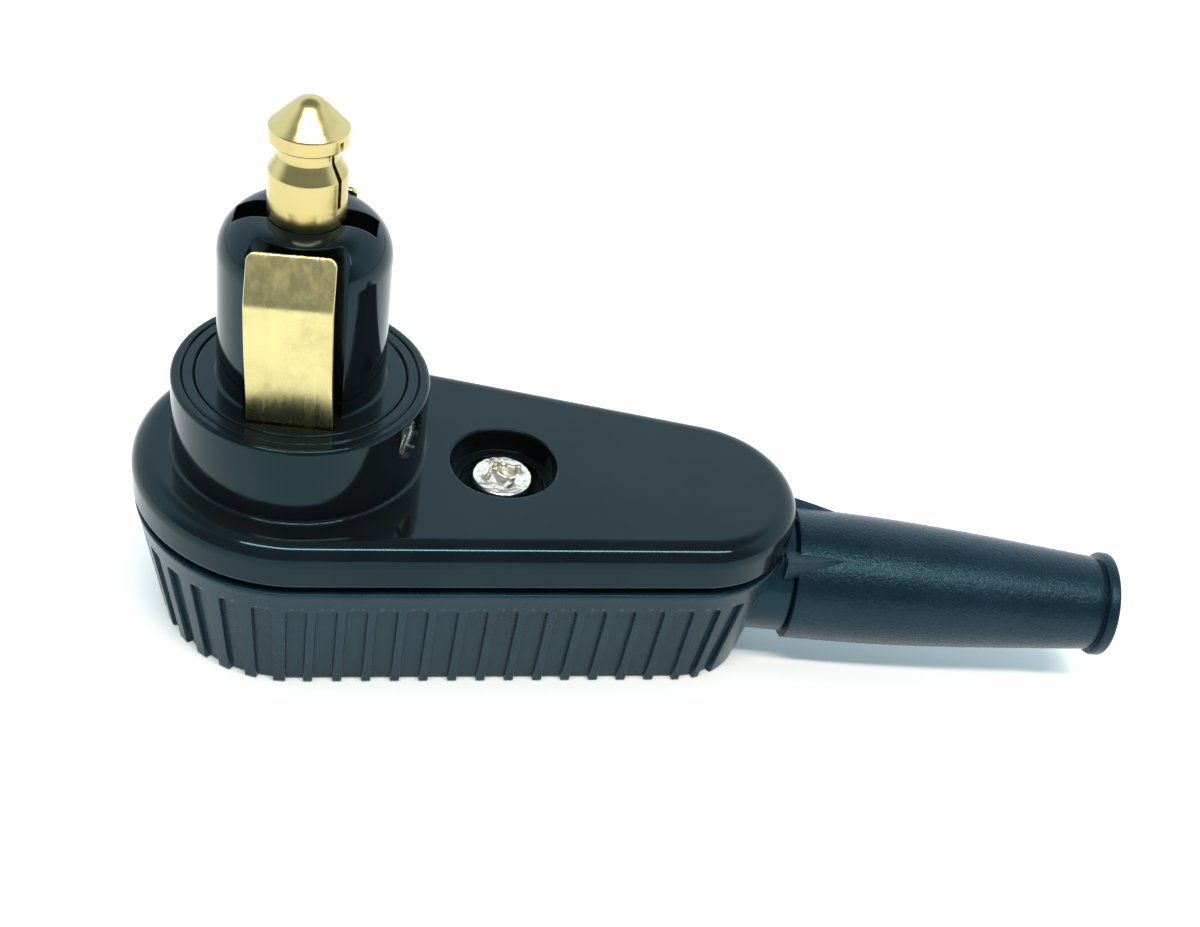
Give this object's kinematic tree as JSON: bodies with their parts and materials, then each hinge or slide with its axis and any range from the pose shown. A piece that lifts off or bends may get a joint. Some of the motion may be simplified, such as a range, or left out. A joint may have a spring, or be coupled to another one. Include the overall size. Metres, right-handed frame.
{
  "type": "right-angle automotive power plug",
  "caption": "Right-angle low-voltage accessory plug: swivelling nose with centre pin and two spring contacts on a ribbed teardrop casing with a flexible cable boot.",
  "frame": {"origin": "on the plug nose's axis, on the plane the base stands on", "axes": "+Z along the nose towards the centre pin, +X from the nose axis towards the cable boot, +Y to the left of the boot"},
  "size_m": [0.074, 0.024, 0.0426],
  "materials": {
    "casing_gloss": "moulded black, polished top, fine hairline scuffs",
    "casing_satin": "moulded black, satin, fluted",
    "ring_gloss": "moulded black, semi-gloss",
    "nose_gloss": "thermoset black, high gloss",
    "pin_brass": "turned, pale nickel-tinted brass, fine turning marks",
    "contact_brass": "rolled spring brass strip, satin, slight tarnish",
    "rivet_brass": "headed rivet",
    "terminal_brass": "machined, unplated",
    "zinc_steel": "bright zinc plate",
    "nickel_screw": "nickel plate, recess worn bright by a driver",
    "divider_fibre": "vulcanised fibre sheet",
    "clamp_nylon": "moulded nylon",
    "boot_rubber": "moulded elastomer, fine eroded texture"
  },
  "bodies": {
    "casing": {"upper_housing": "casing_gloss", "lower_housing": "casing_satin", "nose_retaining_ring": "ring_gloss", "collar_grub_screw": "zinc_steel", "casing_screw": "nickel_screw", "threaded_insert": "terminal_brass", "cord_clamp_bar": "clamp_nylon", "cord_clamp_screws": "zinc_steel", "boot_root": "boot_rubber"},
    "nose": {"plug_nose": "nose_gloss", "centre_pin": "pin_brass", "earth_bridge": "contact_brass", "bridge_rivets": "rivet_brass", "pin_nut": "terminal_brass", "pin_terminal": "terminal_brass", "pin_terminal_screw": "zinc_steel", "earth_terminal": "terminal_brass", "earth_terminal_screw": "zinc_steel", "insulating_divider": "divider_fibre"},
    "front_contact": {"front_spring_contact": "contact_brass"},
    "rear_contact": {"rear_spring_contact": "contact_brass"},
    "boot_end": {"boot_sleeve": "boot_rubber"}
  },
  "joints": [
    {"name": "nose_swivel", "type": "hinge", "parent": "casing", "child": "nose", "pos_m": [0, 0, 0.0185], "axis": [0, 0, 1], "range_deg": [-90, 90]},
    {"name": "front_contact_flex", "type": "hinge", "parent": "nose", "child": "front_contact", "pos_m": [0, -0.006, 0.02045], "axis": [-1, 0, 0], "range_deg": [0, 4], "stiffness_Nm_per_rad": 0.4},
    {"name": "rear_contact_flex", "type": "hinge", "parent": "nose", "child": "rear_contact", "pos_m": [0, 0.006, 0.02045], "axis": [1, 0, 0], "range_deg": [0, 4], "stiffness_Nm_per_rad": 0.4},
    {"name": "boot_flex", "type": "hinge", "parent": "casing", "child": "boot_end", "pos_m": [0.0465, 0, 0.0071], "axis": [0, 1, 0], "range_deg": [-20, 20], "stiffness_Nm_per_rad": 0.1}
  ]
}
